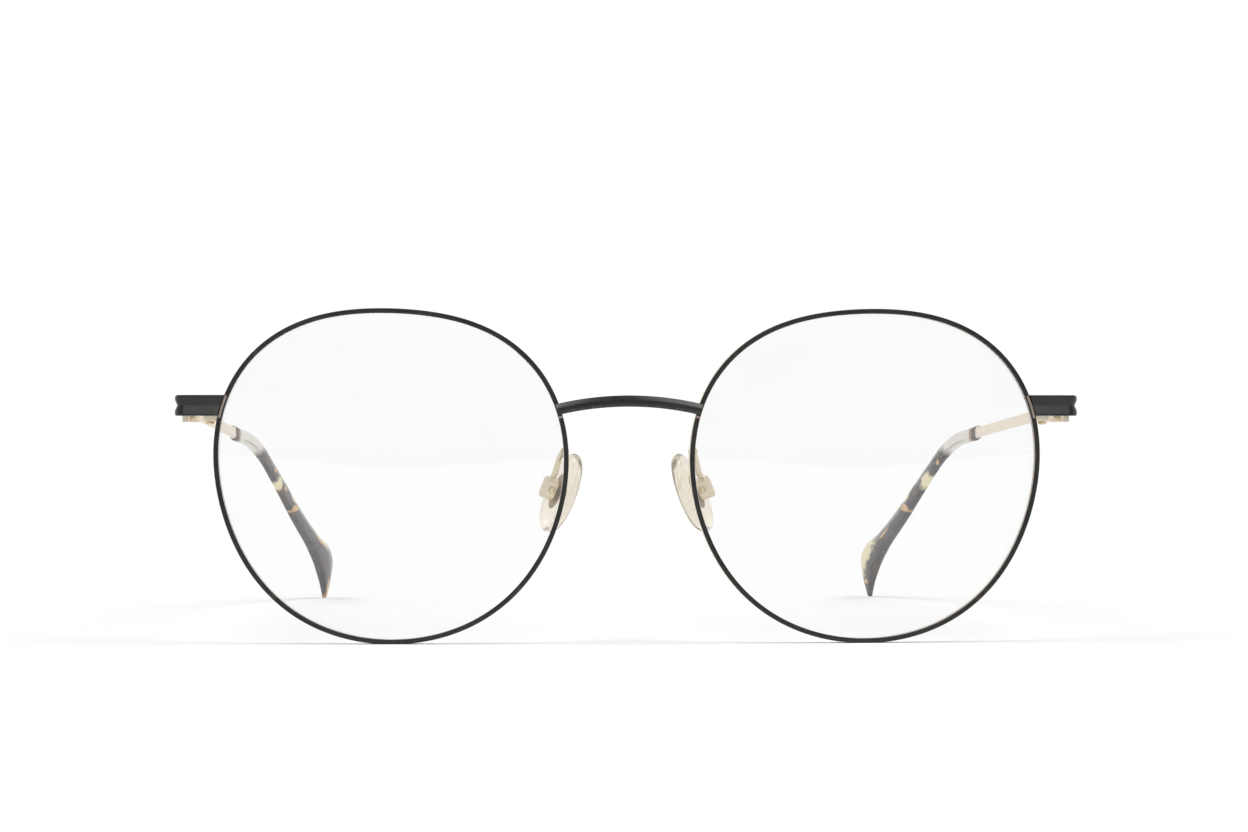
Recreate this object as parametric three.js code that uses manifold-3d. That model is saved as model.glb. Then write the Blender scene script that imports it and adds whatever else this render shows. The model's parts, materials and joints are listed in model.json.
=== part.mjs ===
// Round wire eyeglasses: a metal front with closing blocks, rocking nose pads and folding temples.
// Millimetres, +Z up, the front faces -Y and the temples run back to +Y.
// Every left piece is the wearer's left, at +X, and its right twin is the mirror image.
import * as THREE from 'three';
import { mergeVertices } from 'three/addons/utils/BufferGeometryUtils.js';
import Module from 'manifold-3d';

const wasm = await Module();
wasm.setup();

// Driving dimensions
const lensWidth = 52;
const noseGap = 18.6;
const rimFace = 0.75;
const rimDepth = 2;
const rimSteps = 64;
const lensSides = 48;
const footTrim = 0.05;
const wrapAngle = THREE.MathUtils.degToRad(2);
const fit = 0.05;

const grooveDepth = 0.3;
const lensEdge = 1.6;
const lensRadius = 300;
const lensGap = 0.1;

const bridgeHeight = 1.7;
const bridgeHalf = 12;
const bridgeTopZ = 36.65;
const bridgeBow = 47;

const armZ = 36;
const endHeight = 3.15;
const endThick = 1;
const endFrontY = 1.5;
const endBackY = 7.3;
const endOuterX = 68.5;
const grooveInset = 0.35;

const blockSize = { inner: 60.5, outer: 64.4, front: 2.55, back: 4.5, top: 37.5, bottom: 33.6 };
const lockX = 63.3;
const lockY = 3.6;
const lockRadius = 0.4;
const lockHeadRadius = 0.7;
const lockHeadHeight = 0.5;

const hingeX = 66.2;
const hingeY = 8.6;
const knuckleRadius = 1.2;
const hingeBottom = 33.5;
const hingeTop = 37.3;
const middleBottom = 34.85;
const middleTop = 36.15;
const leafInner = 0.35;
const leafOuter = 1.22;
const leafLength = 5;
const screwRadius = 0.45;
const screwHeadRadius = 0.8;
const screwHeadHeight = 0.45;
const screwHole = screwRadius + 0.04;

const templeYaw = THREE.MathUtils.degToRad(1.73);
const barInner = 1.3;
const barThick = 1;
const barHalf = 0.85;
const barDrop = 0.0555;
const barStartZ = 35.8;
const barFrontY = -1.25;
const tipStart = 76.4;
const tipThick = 2;
const tipRound = 0.3;
const tipInward = 0.323;
const tipBendLength = 8;
const coreHalf = 0.45;
const coreGap = 0.13;

const padCentre = new THREE.Vector3(10.05, 9.5, 22.6);
const padLean = THREE.MathUtils.degToRad(22);
const padSplay = THREE.MathUtils.degToRad(30);
const padHalfLength = 6.4;
const padHalfWidth = 3.4;
const padThick = 2.4;
const coreHalfLength = 2.8;
const coreHalfWidth = 1.3;
const coreBack = -0.8;
const coreFront = -0.42;
const padPivot = -2.35;
const lugHalf = 0.3;
const lugRadius = 0.52;
const boxHalf = 0.95;
const boxFront = -1.65;
const boxBack = -3.3;
const boxHalfLength = 1.7;
const slotBack = -2.95;
const slotTop = 1;
const padScrewRadius = 0.35;
const padArmRadius = 0.45;

// Materials
function finish(color, roughness, metalness, opacity = 1) {
  return new THREE.MeshStandardMaterial({
    color, roughness, metalness, opacity, transparent: opacity < 1,
  });
}
const blackPaint = finish(0x302f30, 0.5, 0.2);
const goldMetal = finish(0xcfbe9c, 0.28, 1);
const screwSteel = finish(0x9a8458, 0.35, 1);
const clearLens = finish(0xf4f7f8, 0.03, 0, 0.3);
const silicone = finish(0xdcd3c2, 0.3, 0, 0.8);
const tortoise = finish(0x5a3f2a, 0.22, 0);

// Solids: closed meshes joined and cut
function solidOf(geometry) {
  const bare = geometry.clone();
  bare.deleteAttribute('normal');
  bare.deleteAttribute('uv');
  const merged = mergeVertices(bare, 1e-5);
  const vertProperties = new Float32Array(merged.attributes.position.array);
  const triVerts = new Uint32Array(merged.index.array);
  return new wasm.Manifold(new wasm.Mesh({ numProp: 3, vertProperties, triVerts }));
}

function geometryOf(solid) {
  const mesh = solid.getMesh();
  const geometry = new THREE.BufferGeometry();
  geometry.setAttribute('position', new THREE.BufferAttribute(mesh.vertProperties, 3));
  geometry.setIndex(new THREE.BufferAttribute(mesh.triVerts, 1));
  return geometry;
}

function join(...geometries) {
  return geometryOf(geometries.map(solidOf).reduce((sum, next) => sum.add(next)));
}

function cut(geometry, ...tools) {
  return geometryOf(tools.map(solidOf).reduce((rest, tool) => rest.subtract(tool), solidOf(geometry)));
}

// Building shapes
function block(x0, x1, y0, y1, z0, z1) {
  const geometry = new THREE.BoxGeometry(x1 - x0, y1 - y0, z1 - z0);
  return geometry.translate((x0 + x1) / 2, (y0 + y1) / 2, (z0 + z1) / 2);
}

function post(radius, x, y, z0, z1, sides = 20) {
  const geometry = new THREE.CylinderGeometry(radius, radius, z1 - z0, sides).rotateX(Math.PI / 2);
  return geometry.translate(x, y, (z0 + z1) / 2);
}

function crossPin(radius, x0, x1, y, sides = 16) {
  const geometry = new THREE.CylinderGeometry(radius, radius, x1 - x0, sides).rotateZ(Math.PI / 2);
  return geometry.translate((x0 + x1) / 2, y, 0);
}

function roundedPlan(x0, x1, y0, y1, z0, z1, radius) {
  const plan = new THREE.Shape();
  plan.moveTo(x0 + radius, y0).lineTo(x1 - radius, y0);
  plan.absarc(x1 - radius, y0 + radius, radius, -Math.PI / 2, 0);
  plan.absarc(x1 - radius, y1 - radius, radius, 0, Math.PI / 2);
  plan.absarc(x0 + radius, y1 - radius, radius, Math.PI / 2, Math.PI);
  plan.absarc(x0 + radius, y0 + radius, radius, Math.PI, Math.PI * 1.5);
  const options = { depth: z1 - z0, bevelEnabled: false, curveSegments: 3 };
  return new THREE.ExtrudeGeometry(plan, options).translate(0, 0, z0);
}

// A plate whose outline is drawn in (Y, Z), x0 to x1 thick along X, with its edges rounded.
function sidePlate(outline, x0, x1, round, curveSegments) {
  const options = {
    depth: x1 - x0 - 2 * round, bevelEnabled: round > 0, bevelThickness: round,
    bevelSize: round, bevelOffset: -round, bevelSegments: 2, curveSegments,
  };
  const geometry = new THREE.ExtrudeGeometry(outline, options).translate(0, 0, x0 + round);
  const turn = new THREE.Matrix4().makeBasis(
    new THREE.Vector3(0, 1, 0), new THREE.Vector3(0, 0, 1), new THREE.Vector3(1, 0, 0),
  );
  return geometry.applyMatrix4(turn);
}

// A plate whose outline is drawn in (X, Z), from y0 to y1, with its edges rounded.
function facePlate(outline, y0, y1, round, curveSegments = 6, bevelSegments = 2) {
  const options = {
    depth: y1 - y0 - 2 * round, bevelEnabled: round > 0, bevelThickness: round,
    bevelSize: round, bevelOffset: -round, bevelSegments, curveSegments,
  };
  return new THREE.ExtrudeGeometry(outline, options).rotateX(Math.PI / 2).translate(0, y1 - round, 0);
}

// A flat ribbon of a given half width along a part of a curve in the outline's plane.
function ribbon(curve, halfWidth, steps, part = 1) {
  const above = [];
  const below = [];
  for (let i = 0; i <= steps; i += 1) {
    const along = (i / steps) * part;
    const point = curve.getPointAt(along);
    const tangent = curve.getTangentAt(along);
    const across = new THREE.Vector2(-tangent.y, tangent.x).multiplyScalar(halfWidth);
    above.push(point.clone().add(across));
    below.unshift(point.clone().sub(across));
  }
  return new THREE.Shape([...above, ...below]);
}

// A screw along Z with a slotted head on top: shank from z0 to z1 and head above z1.
function screw(radius, headRadius, headHeight, z0, z1, sides = 20) {
  const dome = radius * 0.55;
  const profile = [
    [0, z0 - dome * 0.6], [radius * 0.6, z0 - dome * 0.45], [radius, z0], [radius, z1],
    [headRadius, z1], [headRadius, z1 + headHeight * 0.7], [headRadius * 0.8, z1 + headHeight],
    [0, z1 + headHeight],
  ].map(([r, z]) => new THREE.Vector2(r, z));
  const body = new THREE.LatheGeometry(profile, sides).rotateX(Math.PI / 2);
  const slotDeep = headHeight * 0.45;
  const top = z1 + headHeight;
  return cut(body, block(-headRadius, headRadius, -0.13, 0.13, top - slotDeep, top + 1));
}

// Eye shape: a circle with a higher brow, wider than tall, squarer above and tapered below.
const meanRadius = lensWidth / 2;
const eyeBrow = 0.55;
const eyeWide = 0.65;
const eyeTilt = 0.2;
const eyeOuterPull = 0.09;
const eyeTaper = 0.65;
const eyeSquare = 0.38;

function eyeRadius(angle) {
  return meanRadius + eyeBrow * Math.sin(angle) + eyeWide * Math.cos(2 * angle)
    + eyeTilt * Math.sin(2 * angle) - eyeOuterPull * Math.cos(3 * angle)
    + eyeTaper * Math.sin(3 * angle) - eyeSquare * Math.cos(4 * angle);
}

class EyeCurve extends THREE.Curve {
  constructor(offset, start, turn) {
    super();
    Object.assign(this, { offset, start, turn });
  }

  getPoint(t, target = new THREE.Vector3()) {
    const angle = this.start + t * this.turn;
    const radius = eyeRadius(angle) + this.offset;
    return target.set(radius * Math.cos(angle), 0, radius * Math.sin(angle));
  }
}

const eyeHeight = eyeRadius(Math.PI * 1.5) + rimFace / 2 - footTrim;
const eyeReach = eyeRadius(Math.PI) + rimFace / 2;
const eyeFrame = new THREE.Matrix4().makeTranslation(noseGap / 2, 0, eyeHeight)
  .multiply(new THREE.Matrix4().makeRotationZ(wrapAngle))
  .multiply(new THREE.Matrix4().makeTranslation(eyeReach, 0, 0));
const splitAngle = Math.asin((armZ - eyeHeight) / (meanRadius + 0.8));

// The eye outline as a prism, for clearing room round the rim. It keeps to the eye's own frame.
function eyePrism(offset, y0, y1) {
  const outline = new THREE.Shape();
  const steps = 96;
  for (let i = 0; i < steps; i += 1) {
    const angle = (i / steps) * Math.PI * 2;
    const radius = eyeRadius(angle) + offset;
    const point = [radius * Math.cos(angle), radius * Math.sin(angle)];
    if (i === 0) outline.moveTo(...point);
    else outline.lineTo(...point);
  }
  return facePlate(outline, y0, y1, 0);
}

function rim() {
  const half = rimFace / 2;
  const soft = 0.12;
  const grooveFloor = grooveDepth - half;
  const section = new THREE.Shape([
    [-soft, half], [-rimDepth, half], [-rimDepth, -half], [-1.4, -half], [-1.2, grooveFloor],
    [-0.8, grooveFloor], [-0.6, -half], [-soft, -half], [0, soft - half], [0, half - soft],
  ].map(([x, y]) => new THREE.Vector2(x, y)));
  const sawCut = 0.075 / meanRadius;
  const path = new EyeCurve(0, splitAngle + sawCut, Math.PI * 2 - 2 * sawCut);
  const wire = new THREE.ExtrudeGeometry(section, { steps: rimSteps, extrudePath: path });
  return cut(wire, block(-8, 8, -1, rimDepth + 1, -eyeHeight - 2, -eyeHeight));
}

// A meniscus turned on the lens axis, then pulled out to the eye shape. Its edge has a flange.
function lens() {
  const edge = meanRadius - rimFace / 2 - lensGap;
  const flange = meanRadius + grooveDepth - rimFace / 2 - lensGap;
  const sag = (r) => (edge * edge - r * r) / (2 * lensRadius);
  const frontY = (rimDepth - lensEdge) / 2;
  const rings = [0.35, 0.7].map((part) => edge * part);
  const front = [0, ...rings].map((r) => [r, frontY - sag(r)]);
  const back = [...rings.reverse(), 0].map((r) => [r, frontY + lensEdge - sag(r)]);
  const bevel = [[edge, frontY], [edge, 0.75], [flange, 0.88], [flange, 1.12], [edge, 1.25],
    [edge, frontY + lensEdge]];
  const profile = [...front, ...bevel, ...back].map(([r, y]) => new THREE.Vector2(r, y));
  const geometry = new THREE.LatheGeometry(profile, lensSides);
  const place = geometry.attributes.position;
  for (let i = 0; i < place.count; i += 1) {
    const x = place.getX(i);
    const z = place.getZ(i);
    const radius = Math.hypot(x, z);
    const angle = Math.atan2(z, x);
    const pulled = radius + (eyeRadius(angle) - meanRadius) * (radius / edge);
    place.setX(i, pulled * Math.cos(angle));
    place.setZ(i, pulled * Math.sin(angle));
  }
  return cleaned(geometry);
}

function cleaned(geometry) {
  return geometryOf(solidOf(geometry));
}

function mirrored(geometry) {
  const twin = geometry.clone().scale(-1, 1, 1);
  const index = twin.index.array;
  for (let i = 0; i < index.length; i += 3) [index[i], index[i + 1]] = [index[i + 1], index[i]];
  return twin;
}

const flip = new THREE.Matrix4().makeScale(-1, 1, 1);

function mirroredFrame(frame) {
  return flip.clone().multiply(frame).multiply(flip);
}

// Bridge: a flattened bar bowed upwards, whose ends lap over the faces of the rims and stop there.
function bridge() {
  const arch = new THREE.Curve();
  arch.getPoint = (t, target = new THREE.Vector3()) => {
    const x = (2 * t - 1) * bridgeHalf;
    return target.set(x, 0, bridgeTopZ - bridgeBow + Math.sqrt(bridgeBow ** 2 - x * x));
  };
  const top = bridgeHeight / 2;
  const section = new THREE.Shape([
    [0.5, -0.3], [0.5, 0.3], [0.1, top], [-1.2, top], [-1.4, 0.55],
    [-1.4, -0.55], [-1.2, -top], [0.1, -top],
  ].map(([x, y]) => new THREE.Vector2(x, y)));
  const bar = new THREE.ExtrudeGeometry(section, { steps: 18, extrudePath: arch });
  const rimRoom = eyePrism(rimFace / 2 + fit, -fit, 6);
  const lipEnd = eyePrism(-rimFace / 6, -2, 6);
  const leftRoom = join(rimRoom, lipEnd).applyMatrix4(eyeFrame);
  return cut(bar, leftRoom, mirrored(leftRoom));
}

// End piece: a strap that leaves the rim, turns the corner and runs back, V-grooved outside.
function endPiece() {
  const half = endHeight / 2;
  const thin = endThick / 2;
  const section = new THREE.Shape([
    [-half, thin], [half, thin], [half, 0.1 - thin], [half - 0.1, -thin], [half - 0.4, -thin],
    [0, grooveInset - thin], [0.4 - half, -thin], [0.1 - half, -thin], [-half, 0.1 - thin],
  ].map(([x, y]) => new THREE.Vector2(x, y)));
  const midX = endOuterX - thin;
  const midY = endFrontY + thin;
  const turn = 1;
  const path = new THREE.CurvePath();
  const corner = new THREE.QuadraticBezierCurve3(
    new THREE.Vector3(midX - turn, midY, armZ),
    new THREE.Vector3(midX, midY, armZ),
    new THREE.Vector3(midX, midY + turn, armZ),
  );
  path.add(new THREE.LineCurve3(new THREE.Vector3(58, midY, armZ), corner.v0));
  path.add(corner);
  path.add(new THREE.LineCurve3(corner.v2, new THREE.Vector3(midX, endBackY, armZ)));
  const strap = new THREE.ExtrudeGeometry(section, { steps: 24, extrudePath: path });
  return cut(strap, eyePrism(rimFace / 2 + fit, -4, 8).applyMatrix4(eyeFrame));
}

// Closing block half: clamps one end of the rim wire, and the lock screw passes through it.
function closingBlock(z0, z1) {
  const { inner, outer, front, back } = blockSize;
  const body = roundedPlan(inner, outer, front, back, z0, z1, 0.4);
  const room = eyePrism(rimFace / 2 + fit, -4, 8).applyMatrix4(eyeFrame);
  const bore = post(lockRadius + 0.05, lockX, lockY, z0 - 1, z1 + 1);
  return cut(body, room, bore);
}

function lockScrew() {
  const shank = blockSize.top - blockSize.bottom - 0.3;
  const upright = screw(lockRadius, lockHeadRadius, lockHeadHeight, 0, shank);
  const headUnder = blockSize.bottom - 0.03;
  return upright.rotateX(Math.PI).translate(lockX, lockY, headUnder + shank);
}

// Front hinge leaf: a strap inside the end piece with the top and bottom knuckles.
function frontLeaf() {
  const knuckles = [[hingeBottom, middleBottom - fit], [middleTop + fit, hingeTop]];
  const strap = block(leafInner, leafOuter, -leafLength, -knuckleRadius - 0.1, hingeBottom, hingeTop);
  const barrels = knuckles.map(([z0, z1]) => post(knuckleRadius, 0, 0, z0, z1, 24));
  const links = knuckles.map(
    ([z0, z1]) => block(leafInner, leafOuter - 0.05, -knuckleRadius - 0.3, 0, z0, z1),
  );
  const bore = post(screwHole, 0, 0, hingeBottom - 1, hingeTop + 1);
  const seatZ = hingeTop - screwHeadHeight - fit;
  const seat = post(screwHeadRadius + 0.06, 0, 0, seatZ, hingeTop + 1);
  return cut(join(strap, ...barrels, ...links), bore, seat);
}

function hingeScrew() {
  return screw(screwRadius, screwHeadRadius, screwHeadHeight, hingeBottom + 0.05,
    hingeTop - screwHeadHeight);
}

// Temple hinge leaf: the middle knuckle and a strap along the inside of the temple.
function templeLeaf() {
  const barrel = post(knuckleRadius, 0, 0, middleBottom, middleTop, 24);
  const strap = block(leafInner, leafOuter, 0, leafLength + 0.5, middleBottom, middleTop);
  return cut(join(barrel, strap), post(screwHole, 0, 0, middleBottom - 1, middleTop + 1));
}

// How far the tip has turned in towards the head at a distance back from the hinge axis.
function tipOffset(y) {
  const past = Math.max(0, y - tipStart);
  return tipInward * (Math.hypot(past, tipBendLength) - tipBendLength);
}

function turnedIn(geometry) {
  const place = geometry.attributes.position;
  for (let i = 0; i < place.count; i += 1) place.setX(i, place.getX(i) - tipOffset(place.getY(i)));
  return geometry;
}

const coreLine = new THREE.SplineCurve([
  [74, 31.7], [tipStart, 31.55], [85.5, 30.55], [92.5, 27.9], [98, 24.2], [104, 19.85],
].map(([y, z]) => new THREE.Vector2(y, z)));

function templeBar() {
  const barZ = (y) => barStartZ - barDrop * y;
  const barEnd = tipStart - fit;
  const headTop = armZ + 1.5;
  const headBottom = armZ - 1.5;
  const profile = new THREE.Shape();
  profile.moveTo(barFrontY, headBottom).lineTo(4, headBottom);
  profile.quadraticCurveTo(8, barZ(8) - barHalf, 14, barZ(14) - barHalf);
  profile.lineTo(barEnd, barZ(barEnd) - barHalf).lineTo(barEnd, barZ(barEnd) + barHalf);
  profile.lineTo(14, barZ(14) + barHalf);
  profile.quadraticCurveTo(8, barZ(8) + barHalf, 4, headTop);
  profile.lineTo(barFrontY, headTop);
  const bar = sidePlate(profile, barInner, barInner + barThick, 0.15, 5);
  const middle = barInner + barThick / 2;
  const core = turnedIn(
    sidePlate(ribbon(coreLine, coreHalf, 16, 0.98), middle - coreHalf, middle + coreHalf, 0, 1),
  );
  return join(bar, core);
}

// Temple tip: a bar that curves down behind the ear and widens to a paddle with a slanted end.
function templeTip() {
  const profile = new THREE.Shape();
  const backEdge = [[86.4, 31.5], [92.6, 29.3], [97.5, 26.1], [103.2, 22.1], [111, 16.5], [118, 12.1]];
  const heel = [[122.6, 9.9], [124.2, 7.6], [123.9, 4.2], [122.9, 0.7]];
  const frontEdge = [[121.3, 2.6], [118.6, 6.6], [114.4, 10.4], [108.2, 14.9], [101.3, 20.3],
    [96.4, 24], [92, 26.8], [86, 29.1], [tipStart, 30.35]];
  const points = (list) => list.map(([y, z]) => new THREE.Vector2(y, z));
  profile.moveTo(tipStart, 32.75).splineThru(points(backEdge)).splineThru(points(heel));
  profile.quadraticCurveTo(122.7, 0, 122.3, 0).quadraticCurveTo(121.9, 0, 121.8, 0.8);
  profile.splineThru(points(frontEdge));
  const middle = barInner + barThick / 2;
  const plate = sidePlate(profile, middle - tipThick / 2, middle + tipThick / 2, tipRound, 2);
  const room = coreHalf + coreGap;
  const channel = sidePlate(ribbon(coreLine, room, 16), middle - room, middle + room, 0, 1);
  return cut(turnedIn(plate), turnedIn(channel));
}

// Pad frame: +Y out of the pad's face towards the nose, +Z up the pad, +X to its back edge.
const padUp = new THREE.Vector3(-Math.sin(padLean), 0, Math.cos(padLean));
const padFace = new THREE.Vector3(-Math.cos(padSplay), Math.sin(padSplay), 0)
  .addScaledVector(padUp, -Math.cos(padSplay) * Math.sin(padLean)).normalize();
const padAcross = new THREE.Vector3().crossVectors(padFace, padUp);
const padFrame = new THREE.Matrix4().makeBasis(padAcross, padFace, padUp).setPosition(padCentre);

function nosePad() {
  const outline = new THREE.Shape();
  outline.moveTo(0, -padHalfLength);
  outline.bezierCurveTo(2.6, -padHalfLength, padHalfWidth, -3.4, padHalfWidth, -0.6);
  outline.bezierCurveTo(padHalfWidth, 2.6, 2.1, padHalfLength, 0, padHalfLength);
  outline.bezierCurveTo(-2.1, padHalfLength, -padHalfWidth, 2.6, -padHalfWidth, -0.6);
  outline.bezierCurveTo(-padHalfWidth, -3.4, -2.6, -padHalfLength, 0, -padHalfLength);
  const cushion = facePlate(outline, -padThick / 2, padThick / 2, 0.85, 7, 3);
  const pocket = facePlate(coreOutline(0.06), -padThick, coreFront + 0.05, 0);
  return cut(cushion, pocket);
}

function coreOutline(grow) {
  const outline = new THREE.Shape();
  outline.absellipse(0, 0, coreHalfWidth + grow, coreHalfLength + grow, 0, Math.PI * 2);
  return outline;
}

// Pad core: a small plate set in the back of the pad, with the eye that the screw passes.
function padCore() {
  const plate = facePlate(coreOutline(0), coreBack, coreFront, 0);
  const lug = block(-lugHalf, lugHalf, padPivot, coreBack + 0.1, -lugRadius, lugRadius);
  const eye = crossPin(lugRadius, -lugHalf, lugHalf, padPivot);
  return cut(join(plate, lug, eye), crossPin(padScrewRadius + 0.04, -2, 2, padPivot));
}

function padBox() {
  const outline = new THREE.Shape();
  const soft = 0.45;
  const low = -boxHalfLength + soft;
  const high = boxHalfLength - soft;
  const wide = boxHalf - soft;
  outline.moveTo(-wide, -boxHalfLength).lineTo(wide, -boxHalfLength);
  outline.absarc(wide, low, soft, -Math.PI / 2, 0).absarc(wide, high, soft, 0, Math.PI / 2);
  outline.absarc(-wide, high, soft, Math.PI / 2, Math.PI);
  outline.absarc(-wide, low, soft, Math.PI, Math.PI * 1.5);
  const body = facePlate(outline, boxBack, boxFront, 0, 3);
  const slot = block(-lugHalf - 0.06, lugHalf + 0.06, slotBack, 0, -3, slotTop);
  return cut(body, slot, crossPin(padScrewRadius + 0.04, -2, 2, padPivot));
}

function padScrew() {
  const headBase = boxHalf + 0.03;
  const upright = screw(padScrewRadius, 0.6, 0.3, -boxHalf - 0.02, headBase, 14);
  return upright.rotateY(-Math.PI / 2).translate(0, padPivot, 0);
}

// Pad arm: a wire from the back of the rim, over and down to the top of the pad box.
function padArm() {
  const boxTop = new THREE.Vector3(0, -2.5, boxHalfLength + fit).applyMatrix4(padFrame);
  const aboveBox = boxTop.clone().addScaledVector(padUp, 0.9);
  const path = new THREE.CatmullRomCurve3([
    new THREE.Vector3(9.72, rimDepth + 0.08, 29), new THREE.Vector3(9.74, 3, 29.05),
    new THREE.Vector3(9.95, 5, 28.9), new THREE.Vector3(10.5, 7.1, 27.7), aboveBox, boxTop,
  ]);
  const section = new THREE.Shape();
  section.absarc(0, 0, padArmRadius, 0, Math.PI * 2);
  const options = { steps: 20, extrudePath: path, curveSegments: 5 };
  return cleaned(new THREE.ExtrudeGeometry(section, options));
}

// Assembly
const glasses = new THREE.Group();

function addPiece(name, geometry, material, frame) {
  const mesh = new THREE.Mesh(geometry, material.clone());
  mesh.name = name;
  frame.decompose(mesh.position, mesh.quaternion, mesh.scale);
  glasses.add(mesh);
}

function addPair(name, geometry, material, frame = new THREE.Matrix4()) {
  addPiece(`${name}_left`, geometry, material, frame);
  addPiece(`${name}_right`, mirrored(geometry), material, mirroredFrame(frame));
}

const hingeFrame = new THREE.Matrix4().makeTranslation(hingeX, hingeY, 0);
const templeFrame = hingeFrame.clone().multiply(new THREE.Matrix4().makeRotationZ(templeYaw));

addPair('rim', rim(), blackPaint, eyeFrame);
addPair('lens', lens(), clearLens, eyeFrame);
addPiece('bridge', bridge(), blackPaint, new THREE.Matrix4());
addPair('end_piece', endPiece(), blackPaint);
addPair('closing_block_upper', closingBlock(armZ + fit, blockSize.top), goldMetal);
addPair('closing_block_lower', closingBlock(blockSize.bottom, armZ - fit), goldMetal);
addPair('lock_screw', lockScrew(), screwSteel);
addPair('hinge_front_leaf', frontLeaf(), goldMetal, hingeFrame);
addPair('hinge_screw', hingeScrew(), screwSteel, hingeFrame);
addPair('pad_arm', padArm(), goldMetal);
addPair('pad_box', padBox(), goldMetal, padFrame);
addPair('pad_screw', padScrew(), screwSteel, padFrame);
addPair('pad_core', padCore(), goldMetal, padFrame);
addPair('nose_pad', nosePad(), silicone, padFrame);
addPair('hinge_temple_leaf', templeLeaf(), goldMetal, templeFrame);
addPair('temple_bar', templeBar(), goldMetal, templeFrame);
addPair('temple_tip', templeTip(), tortoise, templeFrame);

// The origin is the middle of the footprint, on the surface that the glasses stand on.
const bounds = new THREE.Box3().setFromObject(glasses, true);
glasses.position.set(0, -(bounds.min.y + bounds.max.y) / 2, -bounds.min.z);
glasses.updateMatrixWorld(true);

export default glasses;
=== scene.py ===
import json
import math

import bmesh
import bpy
from mathutils import Matrix, Vector


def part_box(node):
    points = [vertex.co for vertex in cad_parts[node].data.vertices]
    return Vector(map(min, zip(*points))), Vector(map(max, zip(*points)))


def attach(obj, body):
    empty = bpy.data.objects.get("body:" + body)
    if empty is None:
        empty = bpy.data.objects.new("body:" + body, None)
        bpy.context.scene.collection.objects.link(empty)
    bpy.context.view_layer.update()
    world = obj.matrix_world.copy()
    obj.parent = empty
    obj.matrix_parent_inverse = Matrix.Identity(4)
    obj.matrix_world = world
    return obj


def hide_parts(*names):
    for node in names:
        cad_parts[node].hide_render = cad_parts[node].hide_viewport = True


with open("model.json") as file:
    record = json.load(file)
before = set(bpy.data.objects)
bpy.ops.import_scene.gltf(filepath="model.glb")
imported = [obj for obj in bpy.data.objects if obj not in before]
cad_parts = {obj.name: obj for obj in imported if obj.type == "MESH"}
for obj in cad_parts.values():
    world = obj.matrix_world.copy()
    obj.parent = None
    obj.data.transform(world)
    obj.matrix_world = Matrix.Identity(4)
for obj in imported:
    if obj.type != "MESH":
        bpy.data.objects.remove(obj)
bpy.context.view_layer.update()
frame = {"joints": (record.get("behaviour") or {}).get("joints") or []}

# Round wire eyeglasses. Every shape is built in millimetres, then brought to metres in finishPiece.
# A left piece is the wearer's left, at +X. Its right twin is the mirror image.
jointByName = {joint["name"]: joint for joint in frame["joints"]}


def inMillimetres(values):
    return Vector([value * 1000 for value in values])


def boxOf(node):
    low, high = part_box(node)
    return inMillimetres(low), inMillimetres(high)


# ---- where things are, from the frame
wrap = math.radians(2)
rimLow = boxOf("rim_left")[0]
endLow, endHigh = boxOf("end_piece_left")
rim = dict(face=0.75, depth=2.0, footTrim=0.05, grooveFrom=0.6, grooveTo=1.4, grooveDeep=0.3)
frontY = rimLow.y
armZ = (endLow.z + endHigh.z) / 2
endOuterX = endHigh.x
hinge = inMillimetres(jointByName["temple_left_fold"]["pos_m"])
padPivot = inMillimetres(jointByName["nose_pad_left_rock"]["pos_m"])
padAcross = Vector(jointByName["nose_pad_left_rock"]["axis"]).normalized()

# the outline of a lens opening: a mean radius and what pulls it out of round
eye = dict(radius=26.0, brow=0.55, wide=0.65, tilt=0.2, outerPull=0.09, taper=0.65, square=0.38,
           splitBeyond=0.8)


def eyeRadius(angle):
    return (eye["radius"] + eye["brow"] * math.sin(angle) + eye["wide"] * math.cos(2 * angle)
            + eye["tilt"] * math.sin(2 * angle) - eye["outerPull"] * math.cos(3 * angle)
            + eye["taper"] * math.sin(3 * angle) - eye["square"] * math.cos(4 * angle))


eyeHeight = rimLow.z + eyeRadius(math.pi * 1.5) + rim["face"] / 2 - rim["footTrim"]
eyeReach = eyeRadius(math.pi) + rim["face"] / 2
noseEdge = rimLow.x + rim["depth"] * math.sin(wrap)
eyeFrame = (Matrix.Translation((noseEdge, frontY, eyeHeight)) @ Matrix.Rotation(wrap, 4, "Z")
            @ Matrix.Translation((eyeReach, 0, 0)))
splitAngle = math.asin((armZ - eyeHeight) / (eye["radius"] + eye["splitBeyond"]))
plainFrame = Matrix.Identity(4)
mirror = Matrix.Scale(-1, 4, (1, 0, 0))

templeYaw = math.radians(1.73)
hingeFrame = Matrix.Translation((hinge.x, hinge.y, 0))
templeFrame = hingeFrame @ Matrix.Rotation(templeYaw, 4, "Z")

padLean = math.radians(22)
padUp = Vector((-math.sin(padLean), 0, math.cos(padLean)))
padFace = padUp.cross(padAcross).normalized()
padBack = 2.35
padFrame = Matrix((padAcross, padFace, padUp)).transposed().to_4x4()
padFrame.translation = padPivot + padFace * padBack


# ---- camera
def lookFrom():
    view = dict(place=(-0.0228, -0.56549, 0.034), lens=95.6, sensor=36, yaw=2.52, lift=0.0021, near=0.02)
    camera = bpy.data.objects.new("camera", bpy.data.cameras.new("camera"))
    camera.data.lens = view["lens"]
    camera.data.sensor_width = view["sensor"]
    camera.data.shift_y = view["lift"]
    camera.data.clip_start = view["near"]
    camera.location = view["place"]
    camera.rotation_euler = (math.pi / 2, 0, -math.radians(view["yaw"]))
    bpy.context.collection.objects.link(camera)
    bpy.context.scene.camera = camera


lookFrom()


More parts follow.
